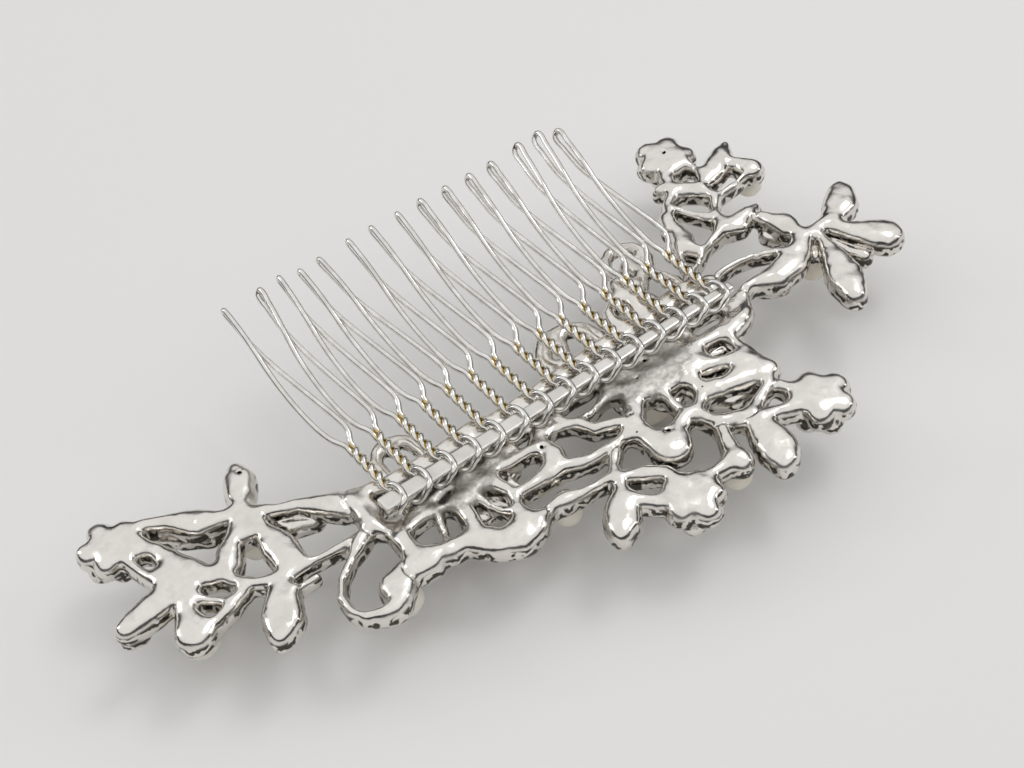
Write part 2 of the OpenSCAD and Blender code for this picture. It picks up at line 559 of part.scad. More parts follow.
comb_bar();
tine(0);  // tine_01
tine(1);  // tine_02
tine(2);  // tine_03
tine(3);  // tine_04
tine(4);  // tine_05
tine(5);  // tine_06
tine(6);  // tine_07
tine(7);  // tine_08
tine(8);  // tine_09
tine(9);  // tine_10
tine(10);  // tine_11
tine(11);  // tine_12
tine(12);  // tine_13
tine(13);  // tine_14
tine(14);  // tine_15
solder_joints();
centre_casting();
hook_scroll();
left_spray();
lower_twig();
lower_right_twig();
right_spray();
upper_right_twig();
ring_petal_left();
ring_petal_middle();
ring_petal_right();
middle_flower();
side_flower();
pearl(middle_pearl);  // pearl_middle_flower
pearl(side_pearl);  // pearl_side_flower
pearl(hook_pearl);  // pearl_hook
pearl(left_cup_pearl);  // pearl_left_cup
pearl(left_leaf_pearl);  // pearl_left_leaf
pearl(left_lace_pearl);  // pearl_left_lace
pearl(lower_stem_pearl);  // pearl_lower_stem
pearl(lower_arc_pearl);  // pearl_lower_arc
pearl(right_spray_pearl);  // pearl_right_spray
pearl(right_ring_pearl);  // pearl_right_ring
pearl(upper_bud_pearl);  // pearl_upper_bud
flower_stones();
leaf_stones();
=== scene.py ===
import math

import bpy
import numpy as np
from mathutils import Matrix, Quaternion, Vector
from mathutils.kdtree import KDTree


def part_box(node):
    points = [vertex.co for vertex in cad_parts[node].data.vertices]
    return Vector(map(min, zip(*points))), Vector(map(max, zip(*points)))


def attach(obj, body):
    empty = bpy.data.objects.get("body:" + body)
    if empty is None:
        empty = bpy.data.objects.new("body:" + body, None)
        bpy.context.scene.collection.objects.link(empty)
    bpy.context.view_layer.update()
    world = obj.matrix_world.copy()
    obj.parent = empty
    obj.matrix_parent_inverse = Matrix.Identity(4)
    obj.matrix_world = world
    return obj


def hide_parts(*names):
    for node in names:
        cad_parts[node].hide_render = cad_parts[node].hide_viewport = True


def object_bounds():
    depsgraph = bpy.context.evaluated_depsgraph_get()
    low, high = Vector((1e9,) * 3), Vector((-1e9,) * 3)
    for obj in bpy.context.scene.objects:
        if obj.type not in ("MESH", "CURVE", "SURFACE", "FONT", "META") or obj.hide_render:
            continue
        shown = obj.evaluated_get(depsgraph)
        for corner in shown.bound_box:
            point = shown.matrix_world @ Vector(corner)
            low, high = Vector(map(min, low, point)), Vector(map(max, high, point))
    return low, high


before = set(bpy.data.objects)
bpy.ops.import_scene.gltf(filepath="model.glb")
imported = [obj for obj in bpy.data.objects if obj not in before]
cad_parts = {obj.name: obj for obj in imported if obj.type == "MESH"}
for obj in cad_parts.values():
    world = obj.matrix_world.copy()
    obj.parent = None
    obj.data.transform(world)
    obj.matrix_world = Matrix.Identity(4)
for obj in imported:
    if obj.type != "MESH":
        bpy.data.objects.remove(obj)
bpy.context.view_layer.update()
MM = 0.001                    # pieces are modelled in millimetres and shrunk once at the end

# The comb as it is built, in mm: the bar's box gives its size, and the tines' pitch follows.
bar_low, bar_high = (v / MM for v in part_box("comb_bar"))
BAR_LENGTH, BAR_WIDTH, BAR_THICKNESS = bar_high - bar_low
TINES = 15
BAR_END = 2.4                 # bar beyond the outermost tine
PITCH = (BAR_LENGTH - 2 * BAR_END) / (TINES - 1)
WIRE_R = 0.42
WIRE_GAP = 0.02
REACH, LIFT = 38.9, 6.4       # tips, from the middle of the bar and above it
TWIST_LENGTH, TWIST_TURNS = 8.4, 2.25
LOOP_WIDTH = 3.3
FAN = 3.2                     # lean of the outermost tines, degrees


# ------------------------------------------------------------------ modelling

def only(*pieces):
    """Leaves just these objects selected, the first one active."""
    bpy.ops.object.select_all(action="DESELECT")
    for piece in pieces:
        piece.select_set(True)
    bpy.context.view_layer.objects.active = pieces[0]


def finish_with(piece, kind, **settings):
    """Adds a modifier with its settings and applies it."""
    only(piece)
    modifier = piece.modifiers.new(kind.title(), kind)
    for key, value in settings.items():
        setattr(modifier, key, value)
    bpy.ops.object.modifier_apply(modifier=modifier.name)


def edit(piece, mode="FACE"):
    """Opens one object for editing, picking by face, edge or vertex."""
    only(piece)
    bpy.ops.object.mode_set(mode="EDIT")
    bpy.ops.mesh.select_mode(type=mode)


def leave():
    bpy.ops.object.mode_set(mode="OBJECT")


def pick_faces(piece, test):
    """Selects the faces whose centre and normal pass the test, and goes back to edit mode."""
    bpy.ops.mesh.select_all(action="DESELECT")
    leave()
    for face in piece.data.polygons:
        face.select = bool(test(face.center, face.normal))
    bpy.ops.object.mode_set(mode="EDIT")


def merged_copy(*names):
    """A copy of CAD nodes in millimetres, with their loose triangles merged into shells."""
    copies = []
    for name in names:
        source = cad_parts[name]
        piece = bpy.data.objects.new("copy", source.data.copy())
        bpy.context.scene.collection.objects.link(piece)
        piece.data.materials.clear()
        copies.append(piece)
    only(*copies)
    if len(copies) > 1:
        bpy.ops.object.join()
    piece = copies[0]
    piece.scale = [1 / MM] * 3
    bpy.ops.object.transform_apply(location=True, rotation=True, scale=True)
    edit(piece, "VERT")
    bpy.ops.mesh.select_all(action="SELECT")
    bpy.ops.mesh.remove_doubles(threshold=0.002)
    leave()
    return piece


def hand_over(piece, name, metal, slot, *nodes):
    """Shrinks a finished piece to metres, gives it its finish and body, and hides its CAD nodes.
    """
    only(piece)
    piece.scale = [MM] * 3
    bpy.ops.object.transform_apply(location=True, rotation=True, scale=True)
    piece.name = piece.data.name = name
    piece.data.materials.clear()
    piece.data.materials.append(metal)
    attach(piece, "root")
    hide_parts(*nodes)


def cloudy(name, grain, depth=2):
    """A soft noise for displacing a skin; grain is the size of its lumps in mm."""
    texture = bpy.data.textures.new(name, "CLOUDS")
    texture.noise_scale = grain
    texture.noise_depth = depth
    texture.noise_basis = "BLENDER_ORIGINAL"
    return texture


# ------------------------------------------------------------------ materials

def linear(hex_colour):
    """sRGB hex to linear RGBA."""
    parts = [int(hex_colour[i:i + 2], 16) / 255 for i in (1, 3, 5)]
    return (*[c / 12.92 if c <= 0.04045 else ((c + 0.055) / 1.055) ** 2.4
              for c in parts], 1)


def plug(tree, node, inputs):
    """Gives a node's sockets, by place or name, their links and constants."""
    for spot, value in inputs.items() if isinstance(inputs, dict) else enumerate(inputs):
        if isinstance(value, bpy.types.Node):
            value = next(out for out in value.outputs if out.enabled)
        if isinstance(value, bpy.types.NodeSocket):
            tree.links.new(value, node.inputs[spot])
        else:
            node.inputs[spot].default_value = linear(value) if isinstance(value, str) else value


def add(tree, kind, inputs=(), stops=(), **settings):
    """Adds a node with its inputs, its colour stops (place, hex) and its settings."""
    node = tree.nodes.new("ShaderNode" + kind)
    for key, value in settings.items():
        setattr(node, key, value)
    plug(tree, node, inputs)
    if stops:
        marks = node.color_ramp.elements
        while len(marks) < len(stops):
            marks.new(0.5)
        for mark, (place, colour) in zip(marks, stops):
            mark.position, mark.color = place, linear(colour)
    return node


def material(name):
    """A metal, glass or paper on Object coordinates, with its coordinates and its shader."""
    made = bpy.data.materials.new(name)
    made.use_nodes = True
    tree = made.node_tree
    return made, tree, add(tree, "TexCoord"), tree.nodes["Principled BSDF"]


# Gas pinholes in the castings' backs: x, y and half width, mm
PINHOLES = [(-40.6, 18.0, 0.32), (5.9, -13.9, 0.36), (-8.1, -5.0, 0.3), (12.2, -1.7, 0.3),
            (9.0, -3.9, 0.22), (4.0, -8.5, 0.18), (2.7, -11.4, 0.15), (14.2, -11.2, 0.13),
            (42.6, 29.3, 0.3)]
# Matt patches either side of the bar: x, y and half sizes, mm
FROSTED = [(-20.0, -2.6, 6.2, 4.0), (10.5, -3.6, 8.2, 4.6)]
SOFT = {"interpolation_type": "SMOOTHSTEP"}


def spread(tree, place, x, y, wide, tall):
    """Distance from a point of the comb's plane, in half widths and half heights (mm)."""
    away = add(tree, "Mapping", {"Vector": place, "Location": (x * MM, y * MM, 0),
                                 "Scale": (wide * MM, tall * MM, 1)}, vector_type="TEXTURE")
    flat = add(tree, "VectorMath", (away, (1, 1, 0)), operation="MULTIPLY")
    return add(tree, "VectorMath", (flat,), operation="LENGTH")


def rhodium_casting():
    """Cast zinc alloy, barrel-polished and rhodium plated: bright and slightly warm, satin
    where the mould left its skin, and painted dark reflections in streaks down the lower walls."""
    made, tree, at, shader = material("rhodium_plated_casting")
    place = at.outputs["Object"]
    spot = add(tree, "SeparateXYZ", (place,))
    lean = add(tree, "SeparateXYZ", (at.outputs["Normal"],))
    # satin blotches a few millimetres across, and grit of a tenth of a millimetre that is
    # drawn at half a millimetre so that it shows
    blotch = add(tree, "TexNoise", {"Vector": place, "Scale": 260, "Detail": 4, "Roughness": 0.6})
    fine = add(tree, "TexNoise", {"Vector": place, "Scale": 1700, "Detail": 3, "Roughness": 0.6})
    ragged = add(tree, "TexNoise", {"Vector": place, "Scale": 320, "Detail": 5,
                                    "Roughness": 0.65})
    rag = add(tree, "MapRange", (ragged.outputs[0], 0, 1, -0.6, 0.6))
    # matt grey mould skin either side of the bar, in two ragged patches
    frost = None
    for x, y, wide, tall in FROSTED:
        torn = add(tree, "Math", (spread(tree, place, x, y, wide, tall), rag), operation="ADD")
        patch = add(tree, "MapRange", (torn, 1.04, 0.9), **SOFT)
        frost = add(tree, "Math", (patch, frost or 0.0), operation="MAXIMUM")
    # painted dark reflections in streaks down the lower walls: one to 2 mm of height, bent and
    # broken by noise
    bend = add(tree, "TexNoise", {"Vector": place, "Scale": 420, "Detail": 3})
    rows = add(tree, "Math", (spot.outputs[2], 3000), operation="MULTIPLY")
    drift = add(tree, "Math", (bend.outputs[0], 24), operation="MULTIPLY")
    turn = add(tree, "Math", (rows, drift), operation="ADD")
    bands = add(tree, "MapRange", (add(tree, "Math", (turn,), operation="SINE"), -0.35, 0.5),
                **SOFT)
    upright = add(tree, "Math", (lean.outputs[2],), operation="ABSOLUTE")
    wall = add(tree, "MapRange", (upright, 0.52, 0.2), **SOFT)
    depth = add(tree, "MapRange", (spot.outputs[2], -0.0014, -0.0019), **SOFT)
    low_wall = add(tree, "Math", (wall, depth), operation="MULTIPLY")
    painted_wall_reflection = add(tree, "Math", (low_wall, bands), operation="MULTIPLY")
    # gas pinholes, 0.3 to 0.7 mm across, with painted shade: their insides painted near black
    pinhole_shade = None
    for x, y, wide in PINHOLES:
        reach = spread(tree, place, x, y, wide, wide)
        hole = add(tree, "MapRange", (reach, 1.15, 0.8), **SOFT)
        pinhole_shade = add(tree, "Math", (hole, pinhole_shade or 0.0), operation="MAXIMUM")
    bright = add(tree, "ValToRGB", (blotch.outputs[0],),
                 ((0.3, "#DDD8D1"), (0.55, "#E9E5DF"), (0.75, "#D6D1CB")))
    matt = add(tree, "ValToRGB", (fine.outputs[0],), ((0.38, "#B4B1AB"), (0.62, "#D2CFC9")))
    colour = bright.outputs[0]
    # the dark grey is a painted dark reflection on the lower walls, the near black is painted
    # shade in the pinholes
    for share, over in ((frost, matt.outputs[0]), (painted_wall_reflection, "#4B4843"), (pinhole_shade, "#0C0B0A")):
        colour = add(tree, "Mix", {0: share, 6: colour, 7: over}, data_type="RGBA").outputs[2]
    gloss = add(tree, "MapRange", (blotch.outputs[0], 0.3, 0.7, 0.13, 0.27), **SOFT)
    dulled = add(tree, "Math", (frost, 0.2, gloss), operation="MULTIPLY_ADD")
    # the grit stands up in the patches, and the blotches are shallow dents everywhere
    grit = add(tree, "MapRange", (frost, 0, 1, 0.25, 1.15))
    skin = add(tree, "Math", (fine.outputs[0], grit, blotch.outputs[0]),
               operation="MULTIPLY_ADD")
    bump = add(tree, "Bump", {"Height": skin, "Strength": 0.35, "Distance": 0.00016})
    plug(tree, shader, {"Base Color": colour, "Metallic": 1.0, "Roughness": dulled,
                        "Normal": bump})
    return made


def plated_wire():
    """Drawn brass wire, silver plated and glossy, with a yellowish painted reflection
    in the crevices where the twisted strands meet."""
    made, tree, at, shader = material("silver_plated_brass_wire")
    place = at.outputs["Object"]
    spot = add(tree, "SeparateXYZ", (place,))
    wear_and_reflection_noise = add(tree, "TexNoise", {"Vector": place, "Scale": 900, "Detail": 3})
    drawn = add(tree, "TexNoise", {"Vector": place, "Scale": 500, "Detail": 4})
    # distance from the axis of the nearest twist, and the twists' length
    aside = add(tree, "Math", (spot.outputs[0], PITCH / 2 * MM), operation="PINGPONG")
    across = add(tree, "CombineXYZ", (aside, spot.outputs[2]))
    reach = add(tree, "VectorMath", (across,), operation="LENGTH")
    # painted reflection: a yellowish tint near the axis of each twist, in the crevices between
    # the strands
    ragged_crevice_reach = add(tree, "Math", (wear_and_reflection_noise.outputs[0], 0.0004, reach), operation="MULTIPLY_ADD")
    near = add(tree, "MapRange", (ragged_crevice_reach, 0.00088, 0.00062), **SOFT)
    after = add(tree, "MapRange", (spot.outputs[1], 0.0022, 0.0032), **SOFT)
    before = add(tree, "MapRange", (spot.outputs[1], 0.0125, 0.0108), **SOFT)
    twisted = add(tree, "Math", (after, before), operation="MULTIPLY")
    crevice_reflection = add(tree, "Math", (near, twisted), operation="MULTIPLY")
    share = add(tree, "Math", (crevice_reflection, 0.9), operation="MULTIPLY")
    silver = add(tree, "ValToRGB", (drawn.outputs[0],), ((0.35, "#DAD7D2"), (0.65, "#EAE8E4")))
    colour = add(tree, "Mix", {0: share, 6: silver.outputs[0], 7: "#CBB77E"}, data_type="RGBA")
    gloss = add(tree, "MapRange", (drawn.outputs[0], 0.3, 0.7, 0.08, 0.2), **SOFT)
    bump = add(tree, "Bump", {"Height": wear_and_reflection_noise.outputs[0], "Strength": 0.15, "Distance": 0.00005})
    plug(tree, shader, {"Base Color": colour.outputs[2], "Metallic": 1.0, "Roughness": gloss,
                        "Normal": bump})
    return made


def plated_strip():
    """Flat brass strip, silver plated: even and satin, with faint scratches along it."""
    made, tree, at, shader = material("silver_plated_strip")
    place = at.outputs["Object"]
    # scratches run along the bar, drawn 0.15 mm apart so that they show
    along = add(tree, "Mapping", {"Vector": place, "Scale": (0.08, 1, 1)})
    scratch = add(tree, "TexNoise", {"Vector": along, "Scale": 5200, "Detail": 3})
    cloud = add(tree, "TexNoise", {"Vector": place, "Scale": 240, "Detail": 3})
    colour = add(tree, "ValToRGB", (cloud.outputs[0],), ((0.35, "#D5D2CD"), (0.65, "#E6E3DE")))
    gloss = add(tree, "MapRange", (cloud.outputs[0], 0.3, 0.7, 0.2, 0.32), **SOFT)
    bump = add(tree, "Bump", {"Height": scratch.outputs[0], "Strength": 0.3,
                              "Distance": 0.00006})
    plug(tree, shader, {"Base Color": colour.outputs[0], "Metallic": 1.0, "Roughness": gloss,
                        "Normal": bump})
    return made


def soft_solder():
    """Tin solder as it froze, then plated with the rest: lumpy and greyer than the casting."""
    made, tree, at, shader = material("plated_tin_solder")
    lumps = add(tree, "TexNoise", {"Vector": at.outputs["Object"], "Scale": 1500, "Detail": 4})
    colour = add(tree, "ValToRGB", (lumps.outputs[0],), ((0.35, "#A5A29B"), (0.65, "#CFCCC6")))
    gloss = add(tree, "MapRange", (lumps.outputs[0], 0.3, 0.7, 0.22, 0.45), **SOFT)
    bump = add(tree, "Bump", {"Height": lumps.outputs[0], "Strength": 0.5, "Distance": 0.0001})
    plug(tree, shader, {"Base Color": colour.outputs[0], "Metallic": 1.0, "Roughness": gloss,
                        "Normal": bump})
    return made


def nacre():
    """Imitation pearl: glass bead dipped in pearl essence, cream with a soft deep gloss."""
    made, tree, at, shader = material("pearl_essence_on_glass")
    cloud = add(tree, "TexNoise", {"Vector": at.outputs["Object"], "Scale": 420, "Detail": 2})
    colour = add(tree, "ValToRGB", (cloud.outputs[0],), ((0.3, "#EDE4D2"), (0.7, "#F6F1E6")))
    bump = add(tree, "Bump", {"Height": cloud.outputs[0], "Strength": 0.08, "Distance": 0.0001})
    plug(tree, shader, {"Base Color": colour.outputs[0], "Roughness": 0.28, "IOR": 1.53,
                        "Coat Weight": 0.8, "Coat Roughness": 0.12,
                        "Subsurface Weight": 0.15,
                        "Subsurface Radius": (0.001, 0.0008, 0.0006), "Normal": bump})
    return made


def foiled_crystal():
    """Cut lead glass with a foiled back: clear, with the foil's bright grey behind it and painted
    glints spotted white through its colour.
    """
    made, tree, at, shader = material("foil_backed_crystal")
    # painted glints: white spots in the stone's colour
    sparkle = add(tree, "TexNoise", {"Vector": at.outputs["Object"], "Scale": 2600, "Detail": 1})
    colour = add(tree, "ValToRGB", (sparkle.outputs[0],), ((0.35, "#C9D0D6"), (0.65, "#FFFFFF")))
    plug(tree, shader, {"Base Color": colour.outputs[0], "Roughness": 0.03, "IOR": 1.6,
                        "Transmission Weight": 0.55, "Coat Weight": 0.6,
                        "Coat Roughness": 0.02})
    return made


casting, wire_metal, strip = rhodium_casting(), plated_wire(), plated_strip()
solder_metal, pearl_skin, crystal = soft_solder(), nacre(), foiled_crystal()


# ------------------------------------------------------------------ castings

WALL_RISE = 0.35              # skin whose normal rises less than this is a wall
RIDGE_PASSES = 12             # rounds of letting the swelling out into its neighbours
PIT_DEPTH, PIT_SPREAD = 0.3, 1.5           # mm, and half widths of the pinhole
PLUG_MARGIN, PLUG_DEPTH = 0.68, 1.6        # mm


def room(x, y):
    """Share of the swelling that the wound bar and the twisted wires leave room for."""
    beside = np.interp(np.abs(x), (30.2, 31.6), (0, 1))
    over = np.interp(y, (-4.4, -3.0, 2.3, 3.4, 6.0, 8.0), (1, 0.1, 0.1, 0.45, 0.5, 1))
    return over + (1 - over) * beside


def swell(piece, reach, rise, drop, waist):
    """Rounds a casting's section: its back edges sink by drop, from the waist's depth below
    the back up, and skin further from the rim stands higher, up to rise at reach."""
    mesh = piece.data
    count = len(mesh.vertices)
    place = np.empty(count * 3)
    mesh.vertices.foreach_get("co", place)
    place = place.reshape(-1, 3)
    normals = np.empty(count * 3, np.float32)
    mesh.vertex_normals.foreach_get("vector", normals)
    upward = normals.reshape(-1, 3)[:, 2]
    level = np.clip((place[:, 2] - place[:, 2].max()) / waist + 1, 0, 1)
    rim = np.nonzero(np.abs(upward) < WALL_RISE)[0]
    tree = KDTree(len(rim))
    for n, i in enumerate(rim):
        tree.insert(place[i], n)
    tree.balance()
    profile = np.zeros(count)
    for i in np.nonzero(np.abs(upward) >= WALL_RISE)[0]:
        away = min(1.0, tree.find(place[i])[2] / reach)
        profile[i] = math.sqrt(1 - (1 - away) ** 2)
    back = profile * (rise + drop * level) - drop * level
    lift = np.where(upward > -WALL_RISE, back * room(place[:, 0], place[:, 1]),
                    -0.6 * rise * profile)
    # the ridge down the middle of each leaf is let out into its neighbours
    edges = np.empty(len(mesh.edges) * 2, np.int32)
    mesh.edges.foreach_get("vertices", edges)
    one, other = edges.reshape(-1, 2).T
    near = np.bincount(edges, minlength=count)
    for _ in range(RIDGE_PASSES):
        total = (np.bincount(one, lift[other], count) + np.bincount(other, lift[one], count))
        lift = 0.4 * lift + 0.6 * total / near
    place[:, 2] += lift
    mesh.vertices.foreach_set("co", place.ravel())
    mesh.update()


def close_pinholes(piece):
    """Plugs the gas pinholes, so that the skin closes over them before it is dented."""
    top = max(v.co.z for v in piece.data.vertices)
    plugs = []
    for x, y, wide in PINHOLES:
        bpy.ops.object.select_all(action="DESELECT")
        bpy.ops.mesh.primitive_cylinder_add(vertices=16, radius=wide + PLUG_MARGIN,
                                            depth=PLUG_DEPTH, location=(x, y, top - 1))
        plugs.append(bpy.context.object)
    only(piece, *plugs)
    bpy.ops.object.join()


def dent_pinholes(piece):
    """Sinks a small crater into the back at each pinhole."""
    top = max(v.co.z for v in piece.data.vertices)
    for vertex in piece.data.vertices:
        if vertex.normal.z > 0.3 and vertex.co.z > top - 2:
            for x, y, wide in PINHOLES:
                off = math.hypot(vertex.co.x - x, vertex.co.y - y) / (wide * PIT_SPREAD)
                if off < 1:
                    vertex.co.z -= PIT_DEPTH * (1 - off * off)


waves = cloudy("uneven_pour", 2.6)
dimples = cloudy("mould_skin", 0.7)


def cast(name, nodes, grain=0.2, reach=2.2, rise=1.0, drop=0.55, waist=1.1, uneven=0.45,
         skin=0.05, pitted=False, kept=1.0):
    """A casting: the CAD nodes' shells fused, relaxed, swollen and given an uneven pour.
    Kept is the share of its triangles that stays, to hold it under 200,000."""
    piece = merged_copy(*nodes)
    if pitted:
        close_pinholes(piece)
    finish_with(piece, "REMESH", mode="VOXEL", voxel_size=grain, adaptivity=0)
    finish_with(piece, "DISPLACE", strength=0.12, mid_level=0)
    finish_with(piece, "SMOOTH", factor=0.5, iterations=7)
    swell(piece, reach, rise, drop, waist)
    finish_with(piece, "DISPLACE", texture=waves, texture_coords="OBJECT", strength=uneven,
                mid_level=0.5)
    finish_with(piece, "DISPLACE", texture=dimples, texture_coords="OBJECT", strength=skin,
                mid_level=0.5)
    finish_with(piece, "SMOOTH", factor=0.5, iterations=5)
    if kept < 1:
        finish_with(piece, "DECIMATE", ratio=kept)
    if pitted:
        dent_pinholes(piece)
    only(piece)
    bpy.ops.object.shade_smooth()
    hand_over(piece, name, casting, "silver_casting", *nodes)


cast("cast_spray", ["centre_casting", "hook_scroll", "left_spray", "lower_twig",
                    "lower_right_twig", "right_spray", "upper_right_twig"],
     grain=0.25, pitted=True, kept=0.7)
for petal in ("ring_petal_left", "ring_petal_middle", "ring_petal_right",
              "middle_flower", "side_flower"):
    cast("cast_" + petal, [petal], 0.2, rise=0.4, drop=0.3, waist=0.7)


# ------------------------------------------------------------------ wire comb

WRAP_R = WIRE_R + WIRE_GAP
HALF_BAR, HALF_THICK = BAR_WIDTH / 2, BAR_THICKNESS / 2
TWIST_START = HALF_BAR + 0.9
TWIST_END = TWIST_START + TWIST_LENGTH
LEG = REACH - TWIST_END
EYES = [0.8 * (0.6 if i < TINES / 2 else 0.85) for i in range(TINES)]   # half heights, mm

# Small differences of the hand-bent loops, in mm: lean of the tip, extra reach, half opening
# of the eye.
TIP_LEAN = [-0.4, 1.2, 0.6, -0.6, -1.4, -0.3, -0.4, 0, -0.2, 0, 0.1, 0, 1.4, 1.1, -0.4]
TIP_REACH = [-0.1, 0, 0.3, -0.6, -0.4, 0, 0.1, 0, 0, -0.2, -0.3, -0.3, 0.4, 0.5, -1.2]
TIP_EYE = [0, 0.3, 0, 0, 0, 0, 0, 0, 0.2, 0.2, 0.25, 0.25, 0.45, 0.5, 0.4]
# Sideways bow of the two legs: share of the length, share of the half width.
LEFT_BOW = [(0.035, 0.25), (0.09, 0.65), (0.15, 0.88), (0.24, 1), (0.42, 0.96),
            (0.58, 0.74), (0.72, 0.44), (0.82, 0.22), (0.91, 0.08)]
RIGHT_BOW = [(0.035, 0.3), (0.08, 0.75), (0.125, 0.97), (0.18, 0.92), (0.3, 0.6),
             (0.45, 0.2), (0.6, -0.08), (0.74, -0.2), (0.82, -0.16), (0.91, -0.06)]


def twist_strand(side):
    """One of the two strands below a loop, side 0 or 180."""
    steps, radius = 27, WIRE_R + WIRE_GAP / 2
    for j in range(steps + 1):
        turn = math.radians(90 - 360 * TWIST_TURNS * j / steps + side)
        yield (radius * math.cos(turn), TWIST_START + TWIST_LENGTH * j / steps,
               radius * math.sin(turn))


def on_loop(i, along, aside, above):
    """A point on the inclined loop of tine i."""
    fan = math.radians(FAN) * (2 * i / (TINES - 1) - 1)
    share = along / LEG
    return (aside + along * math.tan(fan) + TIP_LEAN[i] * share ** 2,
            TWIST_END + along * (1 + TIP_REACH[i] / LEG), LIFT * share + above)


def leg(i, side):
    """One leg of loop i: the left one, side -1, climbs above the right one near the tip."""
    half = LOOP_WIDTH / 2 + side * (0.8 * i / (TINES - 1) - 0.2)
    for share, bow in LEFT_BOW if side < 0 else RIGHT_BOW:
        climb = max(0.0, min(1.0, (share - 0.5) / 0.22))
        yield on_loop(i, share * LEG, side * half * bow
                      - side * TIP_EYE[i] * max(0, share - 0.6) / 0.4,
                      -side * EYES[i] * climb)


def loop_tip(i):
    """The upright eye at the end of loop i, from its upper leg to its lower one."""
    for turn in (90, 45, 0, -45, -90):
        a = math.radians(turn)
        yield on_loop(i, LEG - EYES[i] * (1 - math.cos(a)), TIP_EYE[i] * math.sin(a),
                      EYES[i] * math.sin(a))


def tine_route(i):
    """The wire of one tine: up from under the bar, out, round the tip, back and over the bar."""
    c = 0.78 * WRAP_R
    over = [(0.35, HALF_BAR + c, HALF_THICK + c), (0.65, HALF_BAR * 0.5, HALF_THICK + WRAP_R),
            (0.6, -HALF_BAR * 0.5, HALF_THICK + WRAP_R), (0.15, -HALF_BAR - c, HALF_THICK + c),
            (-0.8, -HALF_BAR - WRAP_R, 0)]
    if i == 0:
        over.append((-1.1, -HALF_BAR - WRAP_R, -HALF_THICK))
    else:
        over += [(-0.46 * PITCH, -HALF_BAR - c, -HALF_THICK - c),
                 (-0.64 * PITCH, -HALF_BAR * 0.85, -HALF_THICK - WRAP_R),
                 (-0.78 * PITCH, -HALF_BAR * 0.3, -HALF_THICK - WRAP_R)]
    under = [(0.22 * PITCH, -HALF_BAR * 0.3, -HALF_THICK - WRAP_R),
             (0.1 * PITCH, HALF_BAR * 0.4, -HALF_THICK - WRAP_R),
             (0.08, HALF_BAR + c, -HALF_THICK - c)]
    return [*under, *twist_strand(180), *leg(i, -1), *loop_tip(i), *reversed(list(leg(i, 1))),
            *reversed(list(twist_strand(0))), *over]


def draw_wire(name, route, across, radius):
    """Drawn round wire along a route, capped, as a mesh."""
    curve = bpy.data.curves.new(name, "CURVE")
    curve.dimensions = "3D"
    curve.resolution_u = 4
    curve.bevel_depth = radius
    curve.bevel_resolution = 3
    curve.use_fill_caps = True
    spline = curve.splines.new("BEZIER")
    spline.bezier_points.add(len(route) - 1)
    for point, place in zip(spline.bezier_points, route):
        point.co = (place[0] + across, place[1], place[2])
        point.handle_left_type = point.handle_right_type = "AUTO"
    piece = bpy.data.objects.new(name, curve)
    bpy.context.scene.collection.objects.link(piece)
    only(piece)
    bpy.ops.object.convert(target="MESH")
    bpy.ops.object.shade_smooth_by_angle(angle=math.radians(50))
    return piece


for i in range(TINES):
    name = f"tine_{i + 1:02d}"
    piece = draw_wire(name, tine_route(i), (i - (TINES - 1) / 2) * PITCH, WIRE_R)
    hand_over(piece, "wire_" + name, wire_metal, "silver_wire", name)


# ------------------------------------------------------------------ bar

def comb_bar():
    """A cut length of flat strip: squared and burred at the left, drawn down at the right."""
    bpy.ops.object.select_all(action="DESELECT")
    bpy.ops.mesh.primitive_cube_add(size=1)
    piece = bpy.context.object
    piece.scale = (BAR_LENGTH, BAR_WIDTH, BAR_THICKNESS)
    only(piece)
    bpy.ops.object.transform_apply(location=True, rotation=True, scale=True)
    edit(piece)
    pick_faces(piece, lambda c, n: n.x > 0.9)
    bpy.ops.transform.resize(value=(1, 0.62, 0.8))
    bpy.ops.mesh.select_all(action="SELECT")
    bpy.ops.mesh.bevel(offset=0.3, segments=4, profile=0.6, affect="EDGES")
    leave()
    finish_with(piece, "REMESH", mode="VOXEL", voxel_size=0.16, adaptivity=0)
    finish_with(piece, "SMOOTH", factor=0.5, iterations=4)
    finish_with(piece, "DISPLACE", texture=cloudy("hammered", 3.4, 1), texture_coords="OBJECT",
                strength=0.12, mid_level=0.5)
    only(piece)
    bpy.ops.object.shade_smooth()
    hand_over(piece, "strip_bar", strip, "silver_bar", "comb_bar")


comb_bar()

lumps = merged_copy("solder_joints")
finish_with(lumps, "REMESH", mode="VOXEL", voxel_size=0.12, adaptivity=0)
finish_with(lumps, "DISPLACE", texture=cloudy("frozen_solder", 0.9), texture_coords="OBJECT",
            strength=0.3, mid_level=0.4)
finish_with(lumps, "SMOOTH", factor=0.5, iterations=6)
bpy.ops.object.shade_smooth()
hand_over(lumps, "solder_lumps", solder_metal, "solder", "solder_joints")


# ------------------------------------------------------------------ pearls and stones

def pearl(node):
    """A drilled bead: the hole faces the cup that it is glued in."""
    low, high = (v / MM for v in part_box(node))
    radius = (high.x - low.x) / 2
    centre = (low + high) / 2
    centre.z = low.z + radius
    bpy.ops.object.select_all(action="DESELECT")
    bpy.ops.mesh.primitive_uv_sphere_add(segments=40, ring_count=24, radius=radius)
    piece = bpy.context.object
    edit(piece)
    pick_faces(piece, lambda c, n: c.z > radius * 0.975)
    bpy.ops.mesh.extrude_region_move(TRANSFORM_OT_translate={"value": (0, 0, -radius * 0.35)})
    leave()
    piece.location = centre
    only(piece)
    bpy.ops.object.transform_apply(location=True, rotation=True, scale=True)
    bpy.ops.object.shade_smooth_by_angle(angle=math.radians(40))
    hand_over(piece, "bead_" + node, pearl_skin, "pearl", node)


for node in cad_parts:
    if node.startswith("pearl_"):
        pearl(node)


CUT_HEIGHT = 0.52             # of a stone that is a unit across


